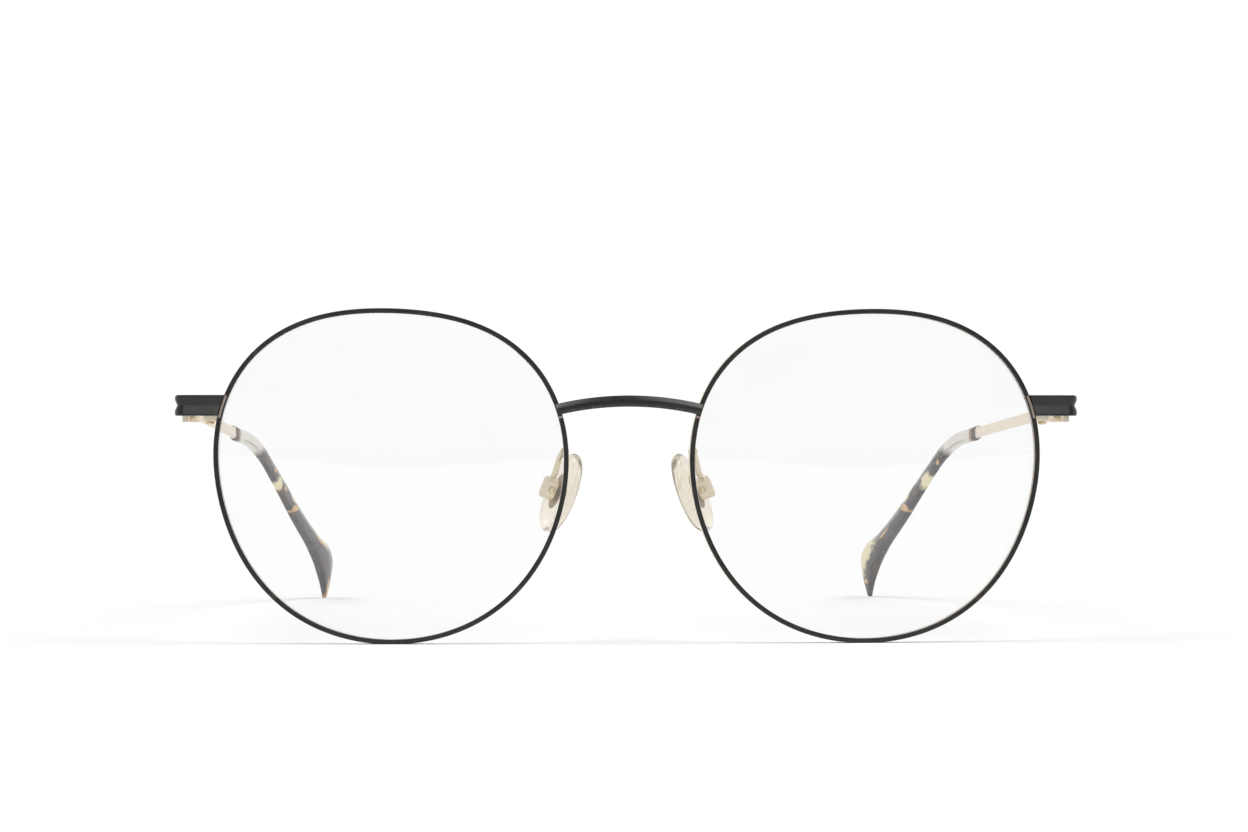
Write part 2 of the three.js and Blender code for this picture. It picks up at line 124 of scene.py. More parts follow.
# ---- mesh building
def newObject(name, verts, faces, dress=None):
    # dress writes finishes or attributes on the mesh while its points and faces are in order
    mesh = bpy.data.meshes.new(name)
    mesh.from_pydata([tuple(vert) for vert in verts], [], faces)
    if dress:
        dress(mesh)
    made = bpy.data.objects.new(name, mesh)
    bpy.context.collection.objects.link(made)
    shell = bmesh.new()
    shell.from_mesh(mesh)
    bmesh.ops.remove_doubles(shell, verts=shell.verts, dist=1e-5)
    bmesh.ops.recalc_face_normals(shell, faces=shell.faces)
    shell.to_mesh(mesh)
    shell.free()
    return made


def skinRings(rings, closed=False):
    # joins rings of points into a tube, closed on itself or capped at both ends
    count = len(rings[0])
    verts = [point for ring in rings for point in ring]
    faces = []
    for i in range(len(rings) if closed else len(rings) - 1):
        here, there = i * count, ((i + 1) % len(rings)) * count
        for j in range(count):
            k = (j + 1) % count
            faces.append((here + j, here + k, there + k, there + j))
    if not closed:
        faces.append(tuple(range(count)))
        faces.append(tuple(range(len(verts) - count, len(verts))))
    return verts, faces


def smoothLine(points, steps):
    # a smooth line through a few points, with this many short steps between each two
    points = [Vector(point) for point in points]
    ends = [2 * points[0] - points[1]] + points + [2 * points[-1] - points[-2]]
    line = []
    for a, b, c, d in zip(ends, ends[1:], ends[2:], ends[3:]):
        for step in range(steps):
            t = step / steps
            line.append(0.5 * (2 * b + (c - a) * t + (2 * a - 5 * b + 4 * c - d) * t ** 2
                               + (3 * b - a - 3 * c + d) * t ** 3))
    return line + [points[-1]]


def solidPlate(outline, start, end, axis):
    # a flat outline pushed along X, Y or Z
    lay = {"X": lambda p, d: (d, p[0], p[1]), "Y": lambda p, d: (p[0], d, p[1]),
           "Z": lambda p, d: (p[0], p[1], d)}[axis]
    return skinRings([[lay(point, depth) for point in outline] for depth in (start, end)])


def slab(x0, x1, y0, y1, z0, z1):
    return solidPlate([(x0, y0), (x1, y0), (x1, y1), (x0, y1)], z0, z1, "Z")


def around(radius, degrees):
    turn = math.radians(degrees)
    return radius * math.cos(turn), radius * math.sin(turn)


def roundedOutline(x0, x1, y0, y1, radius, steps=6):
    corners = [(x1 - radius, y0 + radius, -90), (x1 - radius, y1 - radius, 0),
               (x0 + radius, y1 - radius, 90), (x0 + radius, y0 + radius, 180)]
    outline = []
    for x, y, start in corners:
        for step in range(steps + 1):
            dx, dy = around(radius, start + 90 * step / steps)
            outline.append((x + dx, y + dy))
    return outline


def evenTurns(count):
    return [2 * math.pi * i / count for i in range(count)]


def disc(radius, x=0, y=0, sides=64):
    return [(x + radius * math.cos(turn), y + radius * math.sin(turn)) for turn in evenTurns(sides)]


def latheTurned(profile, sides=64):
    # a shape turned round Z from (radius, z) pairs, flat at both ends
    return skinRings([[(radius * math.cos(turn), radius * math.sin(turn), z) for turn in evenTurns(sides)]
                      for radius, z in profile])


def settle(piece):
    # keeps what the modifiers make, and drops the modifiers
    seen = bpy.context.evaluated_depsgraph_get()
    mesh = bpy.data.meshes.new_from_object(piece.evaluated_get(seen))
    old = piece.data
    piece.modifiers.clear()
    piece.data = mesh
    bpy.data.meshes.remove(old)


def combine(piece, shapes, operation):
    for number, (verts, faces) in enumerate(shapes):
        tool = newObject(f"{piece.name}Tool{number}", verts, faces)
        change = piece.modifiers.new("shape", "BOOLEAN")
        change.operation, change.object, change.solver = operation, tool, "EXACT"
        settle(piece)
        bpy.data.objects.remove(tool)


def carve(piece, *tools):
    combine(piece, tools, "DIFFERENCE")


def weld(piece, *parts):
    combine(piece, parts, "UNION")


def softenEdges(piece, width, segments=3, angle=40):
    bevel = piece.modifiers.new("soften", "BEVEL")
    bevel.width, bevel.segments, bevel.angle_limit = width, segments, math.radians(angle)
    bevel.limit_method = "ANGLE"
    settle(piece)


def moved(shapePair, matrix):
    verts, faces = shapePair
    return [matrix @ Vector(vert) for vert in verts], faces


def eyePrism(offset, y0, y1, steps=240):
    # the outline of the opening grown by offset, from y0 to y1 behind the front
    outline = [((eyeRadius(turn) + offset) * math.cos(turn), (eyeRadius(turn) + offset) * math.sin(turn))
               for turn in evenTurns(steps)]
    return moved(solidPlate(outline, y0, y1, "Y"), eyeFrame)


def rideAndSlot(piece, body, node):
    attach(piece, body)
    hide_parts(node)


def finishPiece(piece, stand, body, node, finishes, sharp=32):
    # to metres and into place, shaded smooth, given its finish and hung on its body
    piece.data.transform(Matrix.Scale(0.001, 4) @ stand)
    piece.data.shade_smooth()
    piece.data.set_sharp_from_angle(angle=math.radians(sharp))
    for finish in finishes:
        piece.data.materials.append(finish)
    piece.modifiers.new("evenShading", "WEIGHTED_NORMAL").keep_sharp = True
    rideAndSlot(piece, body, node)


def makeTwin(piece, name, body, node, finishes):
    twin = bpy.data.objects.new(name, piece.data.copy())
    twin.data.transform(mirror)
    twin.data.flip_normals()
    bpy.context.collection.objects.link(twin)
    twin.modifiers.new("evenShading", "WEIGHTED_NORMAL").keep_sharp = True
    for number, finish in enumerate(finishes):
        twin.data.materials[number] = finish
    rideAndSlot(twin, body, node)


def finishPair(piece, stand, body, node, finishes, sharp=32, twinFinishes=()):
    # body and node hold {} where left or right goes
    finishPiece(piece, stand, body.format("left"), node.format("left"), finishes, sharp)
    makeTwin(piece, piece.name.replace("Left", "Right"), body.format("right"), node.format("right"),
             twinFinishes)


# ---- shader building
def addNode(tree, kind, inputs=None, **settings):
    node = tree.nodes.new("ShaderNode" + kind)
    for key, value in settings.items():
        setattr(node, key, value)
    for key, value in (inputs or {}).items():
        if isinstance(value, bpy.types.NodeSocket):
            tree.links.new(value, node.inputs[key])
        else:
            node.inputs[key].default_value = value
    return node


def newGroup(name, outputs, **inputs):
    # every group reads Vector, and its inputs are vectors or numbers
    tree = bpy.data.node_groups.new(name, "ShaderNodeTree")
    for label, value in {"Vector": (0, 0, 0), **inputs}.items():
        kind = "NodeSocketVector" if isinstance(value, tuple) else "NodeSocketFloat"
        tree.interface.new_socket(name=label, in_out="INPUT", socket_type=kind).default_value = value
    for label in outputs:
        tree.interface.new_socket(name=label, in_out="OUTPUT", socket_type="NodeSocketFloat")
    given, out = tree.nodes.new("NodeGroupInput"), tree.nodes.new("NodeGroupOutput")
    return tree, given.outputs, out.inputs


def useGroup(tree, group, **inputs):
    return addNode(tree, "Group", inputs, node_tree=group)


def mathNode(tree, operation, first, second=0.0):
    return addNode(tree, "Math", {0: first, 1: second}, operation=operation).outputs[0]


def mixColour(tree, factor, first, second):
    return addNode(tree, "Mix", {0: factor, 6: first, 7: second}, data_type="RGBA").outputs[2]


def spread(tree, value, low, high, toLow=0.0, toHigh=1.0):
    return addNode(tree, "MapRange", {"Value": value, "From Min": low, "From Max": high,
                                      "To Min": toLow, "To Max": toHigh}).outputs[0]


def sizedNoise(tree, vector, size, detail, distortion=0.0):
    # size is the grain in millimetres
    perMetre = mathNode(tree, "DIVIDE", 1000.0, size)
    return addNode(tree, "TexNoise", {"Vector": vector, "Scale": perMetre, "Detail": detail,
                                      "Distortion": distortion}).outputs[0]


def makeFineGrain():
    # even fine grain of a coated or moulded surface: Size is the grain in millimetres
    tree, given, out = newGroup("fineGrain", ["Height", "Tone"], Size=0.2)
    broadSize = mathNode(tree, "MULTIPLY", given["Size"], 14.0)
    tree.links.new(sizedNoise(tree, given["Vector"], given["Size"], 3.0), out["Height"])
    tree.links.new(sizedNoise(tree, given["Vector"], broadSize, 2.0), out["Tone"])
    return tree


def makeHairlines():
    # polishing lines that run along one direction, the one in which Stretch is small
    tree, given, out = newGroup("hairlines", ["Height"], Size=0.06, Stretch=(1, 0.05, 1))
    drawn = addNode(tree, "VectorMath", {0: given["Vector"], 1: given["Stretch"]}, operation="MULTIPLY")
    tree.links.new(sizedNoise(tree, drawn.outputs[0], given["Size"], 2.0), out["Height"])
    return tree


def makeHandling():
    # cloudy marks left by fingers and a cloth: Mask is 1 where the surface is duller
    tree, given, out = newGroup("handling", ["Mask"], Size=6.0, Cover=0.5)
    cloud = sizedNoise(tree, given["Vector"], given["Size"], 5.0, distortion=0.6)
    start = mathNode(tree, "SUBTRACT", 0.8, given["Cover"])
    tree.links.new(spread(tree, cloud, start, mathNode(tree, "ADD", start, 0.3)), out["Mask"])
    return tree


def makeRubbedEdges():
    # 1 along outer edges, broken up so that no edge is worn evenly
    flat = 0.52  # a flat face is about 0.5, and an outer edge is more
    tree, given, out = newGroup("rubbedEdges", ["Mask"], Size=1.5, Reach=0.08)
    point = addNode(tree, "NewGeometry").outputs["Pointiness"]
    edge = spread(tree, point, flat, mathNode(tree, "ADD", flat, given["Reach"]))
    breaks = sizedNoise(tree, given["Vector"], given["Size"], 4.0)
    tree.links.new(mathNode(tree, "MULTIPLY", edge, spread(tree, breaks, 0.42, 0.62)), out["Mask"])
    return tree


def makeFleck():
    # one ragged fleck in the plastic round Centre; Reach is half its length and width, in millimetres
    tree, given, out = newGroup("fleck", ["Mask"], Centre=(0, 0, 0), Reach=(2, 1, 1), Slant=0.0,
                                Ragged=0.5)
    offset = addNode(tree, "VectorMath", {0: given["Vector"], 1: given["Centre"]}, operation="SUBTRACT")
    turn = addNode(tree, "VectorRotate", {"Vector": offset.outputs[0], "Angle": given["Slant"]},
                   rotation_type="Z_AXIS")
    scaled = addNode(tree, "VectorMath", {0: turn.outputs[0], 1: given["Reach"]}, operation="DIVIDE")
    distance = addNode(tree, "VectorMath", {0: scaled.outputs[0]}, operation="LENGTH")
    rough = addNode(tree, "TexNoise", {"Vector": given["Vector"], "Scale": 0.9, "Detail": 3.0})
    push = mathNode(tree, "MULTIPLY", mathNode(tree, "SUBTRACT", rough.outputs[0], 0.5), given["Ragged"])
    edge = mathNode(tree, "ADD", distance.outputs[1], mathNode(tree, "MULTIPLY", push, 2.0))
    tree.links.new(spread(tree, edge, 1.3, 0.75), out["Mask"])
    return tree


fineGrain = makeFineGrain()
hairlines = makeHairlines()
handling = makeHandling()
rubbedEdges = makeRubbedEdges()
fleck = makeFleck()


def newMaterial(name, lampsPass=False):
    material = bpy.data.materials.new(name)
    material.use_nodes = True
    tree = material.node_tree
    tree.nodes.clear()
    shader = addNode(tree, "BsdfPrincipled")
    surface = shader.outputs[0]
    if lampsPass:  # as light does through clear glass
        path = addNode(tree, "LightPath")
        clear = addNode(tree, "BsdfTransparent")
        surface = addNode(tree, "MixShader", {0: path.outputs["Is Shadow Ray"], 1: surface,
                                              2: clear.outputs[0]}).outputs[0]
    addNode(tree, "OutputMaterial", {"Surface": surface})
    where = addNode(tree, "TexCoord").outputs["Object"]
    return material, tree, shader, where


def grainOf(tree, where, size):
    return useGroup(tree, fineGrain, Vector=where, Size=size).outputs


def marksOf(tree, where, size, cover):
    return useGroup(tree, handling, Vector=where, Size=size, Cover=cover).outputs["Mask"]


def paintOn(tree, shader, colour, dull):
    tree.links.new(colour, shader.inputs["Base Color"])
    tree.links.new(dull, shader.inputs["Roughness"])


def bumpFrom(tree, shader, height, strength, distance):
    bump = addNode(tree, "Bump", {"Height": height, "Strength": strength, "Distance": distance})
    tree.links.new(bump.outputs[0], shader.inputs["Normal"])


def satinBlackPaint():
    look = dict(paint=(0.0060, 0.0056, 0.0054, 1), dusty=(0.013, 0.012, 0.011, 1),
                worn=(0.085, 0.075, 0.062, 1), wornShare=0.3, grain=0.09, smooth=0.25, rough=0.34)
    material, tree, shader, where = newMaterial("satinBlackPaint")
    marks = marksOf(tree, where, 5.0, 0.45)
    edges = useGroup(tree, rubbedEdges, Vector=where, Size=0.9, Reach=0.1)
    dusted = mixColour(tree, marks, look["paint"], look["dusty"])
    rubbed = mathNode(tree, "MULTIPLY", edges.outputs["Mask"], look["wornShare"])
    colour = mixColour(tree, rubbed, dusted, look["worn"])
    paintOn(tree, shader, colour, spread(tree, marks, 0, 1, look["smooth"], look["rough"]))
    bumpFrom(tree, shader, grainOf(tree, where, look["grain"])["Height"], 0.12, 0.000010)
    return material


def platedGold(name, pale, deep, smooth, rough, lineStretch=(1, 0.06, 1)):
    material, tree, shader, where = newMaterial(name)
    lines = useGroup(tree, hairlines, Vector=where, Size=0.05, Stretch=lineStretch)
    colour = mixColour(tree, grainOf(tree, where, 0.3)["Tone"], (*pale, 1), (*deep, 1))
    paintOn(tree, shader, colour, spread(tree, marksOf(tree, where, 4.0, 0.5), 0, 1, smooth, rough))
    shader.inputs["Metallic"].default_value = 1.0
    bumpFrom(tree, shader, lines.outputs["Height"], 0.08, 0.000006)
    return material


def clearLensGlass():
    look = dict(clean=(0.972, 0.976, 0.976, 1), marked=(0.962, 0.966, 0.966, 1), smooth=0.0, rough=0.012)
    material, tree, shader, where = newMaterial("clearLensGlass", lampsPass=True)
    shader.inputs["Transmission Weight"].default_value = 0.99
    shader.inputs["IOR"].default_value = 1.5
    shader.inputs["Specular IOR Level"].default_value = 0.16  # the coating takes most of the glare away
    marks = marksOf(tree, where, 9.0, 0.35)
    tint = mixColour(tree, marks, look["clean"], look["marked"])
    paintOn(tree, shader, tint, spread(tree, marks, 0, 1, look["smooth"], look["rough"]))
    return material


def clearSilicone():
    look = dict(pale=(0.91, 0.87, 0.78, 1), warm=(0.86, 0.80, 0.68, 1), smooth=0.04, rough=0.12)
    material, tree, shader, where = newMaterial("clearSilicone", lampsPass=True)
    shader.inputs["Transmission Weight"].default_value = 0.88
    shader.inputs["IOR"].default_value = 1.41
    grain = grainOf(tree, where, 0.25)
    colour = mixColour(tree, marksOf(tree, where, 3.0, 0.5), look["pale"], look["warm"])
    paintOn(tree, shader, colour, spread(tree, grain["Tone"], 0, 1, look["smooth"], look["rough"]))
    bumpFrom(tree, shader, grain["Height"], 0.12, 0.00001)
    return material


def mottledPlastic(name, flecks, seed):
    # a brown collar whose end face is painted near white as a highlight, a pale clear stretch over the bend,
    # then flecks on dark
    look = dict(dark=(0.022, 0.020, 0.021, 1), brown=(0.075, 0.044, 0.024, 1),
                pale=(0.76, 0.68, 0.43, 1), amber=(0.60, 0.36, 0.15, 1), clear=(0.80, 0.76, 0.69, 1),
                haze=(0.66, 0.63, 0.58, 1), collar=(0.050, 0.028, 0.014, 1), core=(0.30, 0.27, 0.22, 1),
                edgeAmber=(0.34, 0.17, 0.05, 1),
                paintedEdgeLight=(0.60, 0.59, 0.57, 1), paintedEndGlint=(0.85, 0.84, 0.82, 1))
    # lengths along the tip and across it, in millimetres
    zone = dict(endFace=0.03, collar=3.4, collarWander=0.6, clear=17.6, clearWander=3.0, clearSlope=1.1,
                clearBlur=1.1, coreDown=0.68, coreHalf=0.24, coreSharp=0.06, coreFrom=4.5, coreFull=9.0)
    share = dict(core=0.7, paintedEdgeLight=0.7, wander=0.5)
    material, tree, shader, where = newMaterial(name)
    tipPlace = addNode(tree, "Attribute", attribute_name="tipPlace").outputs["Vector"]
    edgeward = addNode(tree, "Attribute", attribute_name="tipEdge").outputs["Fac"]
    split = addNode(tree, "SeparateXYZ", {0: tipPlace})
    along, across = split.outputs[0], split.outputs[1]
    swirl = addNode(tree, "TexNoise", {"Vector": tipPlace, "Scale": 0.32, "Detail": 3.0, "Distortion": 1.2,
                                       "W": seed}, noise_dimensions="4D").outputs[0]
    wander = addNode(tree, "TexNoise", {"Vector": tipPlace, "Scale": 0.45, "Detail": 2.0}).outputs[0]

    def wandering(value, amount):
        return mathNode(tree, "ADD", value, mathNode(tree, "MULTIPLY", wander, amount))

    tone = mixColour(tree, spread(tree, swirl, 0.5, 0.66), look["dark"], look["brown"])
    # painted light: the dark plastic turns paler towards the rounded back edge, standing in for the light
    # seen along it
    lit = wandering(edgeward, share["wander"])
    tone = mixColour(tree, spread(tree, lit, 0.35, 1.2, 0.0, share["paintedEdgeLight"]), tone, look["paintedEdgeLight"])
    for kind, centre, reach, slant in flecks:
        spot = useGroup(tree, fleck, Vector=tipPlace, Centre=(*centre, 0), Reach=(*reach, 3),
                        Slant=math.radians(slant), Ragged=0.6)
        tone = mixColour(tree, spot.outputs["Mask"], tone, look[kind])
    light = mixColour(tree, swirl, look["clear"], look["haze"])
    offCore = mathNode(tree, "ABSOLUTE", mathNode(tree, "ADD", across, zone["coreDown"]))
    core = mathNode(tree, "MULTIPLY", spread(tree, offCore, zone["coreHalf"], zone["coreSharp"]),
                    spread(tree, along, zone["coreFrom"], zone["coreFull"]))
    light = mixColour(tree, mathNode(tree, "MULTIPLY", core, share["core"]), light, look["core"])
    bound = wandering(along, zone["clearWander"])
    bound = mathNode(tree, "SUBTRACT", bound, mathNode(tree, "MULTIPLY", across, zone["clearSlope"]))
    pastClear = spread(tree, bound, zone["clear"] - zone["clearBlur"], zone["clear"] + zone["clearBlur"])
    tone = mixColour(tree, pastClear, light, tone)
    ring = wandering(along, zone["collarWander"])
    pastAmber = spread(tree, ring, zone["collar"] + 0.5, zone["collar"] + 1.5)
    tone = mixColour(tree, pastAmber, look["edgeAmber"], tone)
    pastCollar = spread(tree, ring, zone["collar"] - 0.5, zone["collar"] + 0.6)
    tone = mixColour(tree, pastCollar, look["collar"], tone)
    # painted highlight: the end face of the collar is painted near white
    pastFace = spread(tree, along, zone["endFace"] / 2, zone["endFace"])
    tone = mixColour(tree, pastFace, look["paintedEndGlint"], tone)
    dull = mathNode(tree, "ADD", spread(tree, marksOf(tree, where, 6.0, 0.4), 0, 1, 0.16, 0.28),
                    spread(tree, pastCollar, 0, 1, 0.34, 0.0))  # the collar is duller
    paintOn(tree, shader, tone, dull)
    bumpFrom(tree, shader, grainOf(tree, where, 0.6)["Height"], 0.08, 0.00001)
    shader.inputs["Coat Weight"].default_value = 0.2
    shader.inputs["Coat Roughness"].default_value = 0.05
    return material


# each fleck: its colour, (along, across) and reach in millimetres, and its slant in degrees
tipFlecks = {
    "left": [("amber", (18.8, -0.8), (0.6, 0.35), 0), ("brown", (30.0, 0.3), (1.6, 0.8), 0),
             ("pale", (25.0, -0.8), (2.2, 1.0), 0), ("pale", (32.8, 0.95), (1.6, 0.4), 0),
             ("amber", (34.6, -0.3), (0.9, 1.1), 15), ("amber", (44.0, 0.2), (2.0, 0.25), 0),
             ("pale", (51.6, 1.7), (4.4, 2.2), 0), ("amber", (56.8, -0.2), (0.5, 0.5), 0)],
    "right": [("amber", (23.0, 0.2), (0.45, 0.35), 0), ("pale", (26.3, -0.7), (1.4, 1.25), 8),
              ("brown", (29.2, -0.3), (2.2, 1.2), 0), ("amber", (28.8, 0.2), (0.6, 0.4), 0),
              ("pale", (32.8, 0.95), (1.4, 0.4), 0), ("amber", (34.6, -0.2), (0.8, 1.2), 20),
              ("pale", (47.0, 1.7), (3.2, 0.7), 0), ("amber", (47.4, 1.0), (2.2, 0.3), 0),
              ("amber", (58.0, 0.0), (2.0, 0.5), 0)],
}

blackPaint = satinBlackPaint()
gold = platedGold("champagneGold", (0.87, 0.78, 0.65), (0.79, 0.69, 0.54), 0.28, 0.40)
bareGold = platedGold("bareGoldMark", (0.46, 0.38, 0.33), (0.34, 0.27, 0.23), 0.3, 0.42, (1, 1, 0.1))
screwGold = platedGold("screwGold", (0.76, 0.64, 0.45), (0.62, 0.50, 0.33), 0.22, 0.36, (1, 1, 1))
# a darker, rosier copy of the gold for the wire's inner wall and groove: painted shade where the lens sits
# in it
shadedInnerGold = platedGold("shadedInnerGold", (0.68, 0.48, 0.34), (0.56, 0.38, 0.26), 0.35, 0.50)
darkGold = platedGold("darkGold", (0.40, 0.31, 0.18), (0.28, 0.20, 0.11), 0.30, 0.42)
padGold = platedGold("padGold", (0.80, 0.72, 0.56), (0.60, 0.51, 0.36), 0.24, 0.36)
lensGlass = clearLensGlass()
silicone = clearSilicone()
tipPlastic = {side: mottledPlastic(f"mottledPlastic{side.title()}", tipFlecks[side], seed)
              for side, seed in (("left", 3.0), ("right", 7.0))}
print("finishes made")


# ---- rims and lenses
def makeRims():
    wire = dict(soft=0.12, paintTo=0.17, frontCorner=0.035, backCorner=0.07, grooveLead=0.2, sawCut=0.02,
                steps=540, markFrom=-0.09, markTo=0.25, markLonger=1.02, markDrop=0.026, jointFrom=34.2,
                jointTo=34.55)
    # inner takes the darker copy of the gold: painted shade along the inner wall and groove
    painted, bare, mark, inner = 0, 1, 2, 3
    half, depth, soft, paintTo = rim["face"] / 2, rim["depth"], wire["soft"], wire["paintTo"]
    front, back, lead = wire["frontCorner"], wire["backCorner"], wire["grooveLead"]
    floor = half - rim["grooveDeep"]
    # the section of the wire: (out from the middle, back from the front, finish of the edge that follows)
    section = [
        (half, depth - back, bare), (half, paintTo, painted), (half, soft, painted),
        (half - front, front, painted), (half - soft, 0, painted), (wire["markTo"], 0, mark),
        (wire["markFrom"], 0, painted), (soft - half, 0, painted), (front - half, front, painted),
        (-half, soft, painted), (-half, paintTo, inner), (-half, rim["grooveFrom"], inner),
        (-floor, rim["grooveFrom"] + lead, inner), (-floor, rim["grooveTo"] - lead, inner),
        (-half, rim["grooveTo"], inner), (-half, depth - back, bare), (back - half, depth, bare),
        (half - back, depth, bare),
    ]
    cutTurn = wire["sawCut"] / 2 / eye["radius"]
    start, sweep = splitAngle + cutTurn, 2 * math.pi - 2 * cutTurn
    markTurn = (endHigh.z - endLow.z) / 2 / eye["radius"] * wire["markLonger"]
    footZ = rimLow.z - eyeHeight  # each rim stands on a small flat
    turns = [start + sweep * i / wire["steps"] for i in range(wire["steps"] + 1)]

    def spotAt(turn):
        return Vector((eyeRadius(turn) * math.cos(turn), eyeRadius(turn) * math.sin(turn)))

    rings = []
    for turn in turns:
        centre = spotAt(turn)
        ahead = spotAt(turn + 1e-4) - centre
        out = Vector((ahead.y, -ahead.x)).normalized()
        rings.append([(centre.x + out.x * r, y, max(centre.y + out.y * r, footZ)) for r, y, _ in section])

    def finishEdges(mesh):
        for number, face in enumerate(mesh.polygons[:len(section) * wire["steps"]]):
            ring, edge = divmod(number, len(section))
            finish = section[edge][2]
            offset = (turns[ring] - splitAngle + math.pi) % (2 * math.pi) - math.pi
            x, _, z = rings[ring][0]
            if finish == mark and abs(offset + wire["markDrop"]) > markTurn:
                finish = painted
            # bare again where the bridge was soldered on
            if finish == painted and x < 0 and wire["jointFrom"] < z + eyeHeight < wire["jointTo"]:
                finish = mark
            face.material_index = finish

    piece = newObject("rimWireLeft", *skinRings(rings), finishEdges)
    finishPair(piece, eyeFrame, "front", "rim_{}", [blackPaint, gold, bareGold, shadedInnerGold],
               sharp=40)


def makeLenses():
    size = dict(thick=1.6, curve=300.0, gap=-0.02, bevel=0.06, flangeFrom=0.75, flangeTo=1.25,
                flangeBevel=0.13, rings=18, sides=256)
    edge = eye["radius"] - rim["face"] / 2 - size["gap"]
    flange = edge + rim["grooveDeep"]
    front = (rim["depth"] - size["thick"]) / 2
    back = front + size["thick"]
    bevel, flangeBevel = size["bevel"], size["flangeBevel"]

    def hollow(radius):
        return (edge ** 2 - radius ** 2) / (2 * size["curve"])

    # the section of the glass as (radius, back from the front of the rim)
    radii = [edge * i / size["rings"] for i in range(1, size["rings"])]
    profile = [(radius, front - hollow(radius)) for radius in radii]
    profile += [(edge - bevel, front), (edge, front + bevel), (edge, size["flangeFrom"]),
                (flange, size["flangeFrom"] + flangeBevel), (flange, size["flangeTo"] - flangeBevel),
                (edge, size["flangeTo"]), (edge, back - bevel), (edge - bevel, back)]
    profile += [(radius, back - hollow(radius)) for radius in reversed(radii)]
    turns = evenTurns(size["sides"])
    rings = []
    for radius, y in profile:
        pulled = [radius + (eyeRadius(turn) - eye["radius"]) * radius / edge for turn in turns]
        rings.append([(p * math.cos(turn), y, p * math.sin(turn)) for p, turn in zip(pulled, turns)])
    verts, faces = skinRings(rings)
    faces = faces[:-2]  # the middle of each side is closed to a point instead
    for ring, y in ((0, front - hollow(0)), (len(rings) - 1, back - hollow(0))):
        base = ring * size["sides"]
        for i in range(size["sides"]):
            faces.append((base + i, base + (i + 1) % size["sides"], len(verts)))
        verts.append((0, y, 0))
    piece = newObject("lensDiscLeft", verts, faces)
    finishPair(piece, eyeFrame, "front", "lens_{}", [lensGlass])


# ---- bridge and end pieces
pastStrap = (-4, 8)  # from ahead of everything at the corner to behind it


def makeBridge():
    size = dict(half=12.0, topZ=36.65, bow=47.0, height=1.7, fit=0.05, lipEnd=0.125, reach=6, soft=0.1,
                steps=72)
    top = size["height"] / 2
    # (ahead of the rims, up)
    section = [(0.5, -0.45), (0.5, 0.15), (-0.05, top), (-1.2, top), (-1.4, 0.55), (-1.4, -0.55),
               (-1.2, -top), (0.2, -top)]
    rings = []
    for i in range(size["steps"] + 1):
        x = (2 * i / size["steps"] - 1) * size["half"]
        turn = math.asin(x / size["bow"])
        middle = Vector((x, size["topZ"] - size["bow"] + math.sqrt(size["bow"] ** 2 - x * x)))
        rings.append([(middle.x + up * math.sin(turn), frontY - ahead, middle.y + up * math.cos(turn))
                      for ahead, up in section])
    piece = newObject("bridgeBar", *skinRings(rings))
    # the ends lap over the front of each rim, and stop short of its inner edge
    behind = eyePrism(rim["face"] / 2 + size["fit"], -size["fit"], size["reach"])
    lip = eyePrism(-size["lipEnd"], -2, size["reach"])
    carve(piece, behind, lip, moved(behind, mirror), moved(lip, mirror))
    softenEdges(piece, size["soft"], segments=4, angle=20)
    finishPiece(piece, plainFrame, "front", "bridge", [blackPaint], sharp=60)


def makeEndPieces():
    # the groove is wide across the front and narrows as the strap turns the corner
    size = dict(height=endHigh.z - endLow.z, thick=1.0, front=1.5, turn=1.0, groove=0.35, lip=0.38,
                sideLip=0.82, topRound=0.42, frontRound=0.35, bottomRound=0.14, fit=0.05, soft=0.06,
                innerX=58.0, step=0.5, straightSteps=17, cornerSteps=16)
    half, thin = size["height"] / 2, size["thick"] / 2
    midX, midY = endOuterX - thin, frontY + size["front"] + thin
    cornerCentre = Vector((midX - size["turn"], midY + size["turn"]))

    def sectionAt(side):
        # across the strap as (up, out), side running from 0 on the front to 1 past the corner
        lip = size["lip"] + (size["sideLip"] - size["lip"]) * side
        top = size["topRound"] * (size["frontRound"] + (1 - size["frontRound"]) * side)
        bottom = size["bottomRound"]
        outline = [(-half, -thin), (half, -thin)]
        for turn in (90, 67, 45, 22, 0):
            dx, dy = around(top, turn)
            outline.append((half - top + dy, thin - top + dx))
        return outline + [(half - max(lip, top + 0.05), thin), (0, thin - size["groove"]),
                          (lip - half, thin), (bottom - half, thin), (-half, thin - bottom)]

    # (place, outward, side) along the strap
    path = [(Vector((size["innerX"] + i * size["step"], midY)), Vector((0, -1)), 0.0)
            for i in range(size["straightSteps"])]
    for i in range(size["cornerSteps"] + 1):
        out = Vector(around(1, -90 + 90 * i / size["cornerSteps"]))
        path.append((cornerCentre + out * size["turn"], out, i / size["cornerSteps"]))
    path.append((Vector((midX, endHigh.y)), Vector((1, 0)), 1.0))
    rings = [[(spot.x + out.x * across, spot.y + out.y * across, armZ + up)
              for up, across in sectionAt(side)] for spot, out, side in path]
    piece = newObject("endStrapLeft", *skinRings(rings))
    carve(piece, eyePrism(rim["face"] / 2 + size["fit"], *pastStrap))
    softenEdges(piece, size["soft"], angle=24)
    finishPair(piece, plainFrame, "front", "end_piece_{}", [blackPaint], sharp=50)


# ---- closing blocks and their screws
block = dict(inner=60.5, outer=64.4, front=2.55, back=4.5, top=37.5, bottom=33.6, corner=0.4, fit=0.05,
             soft=0.08)
lock = dict(x=63.3, y=3.6, radius=0.4, room=0.05, headRadius=0.7, headHeight=0.5, short=0.3, sunk=0.03)


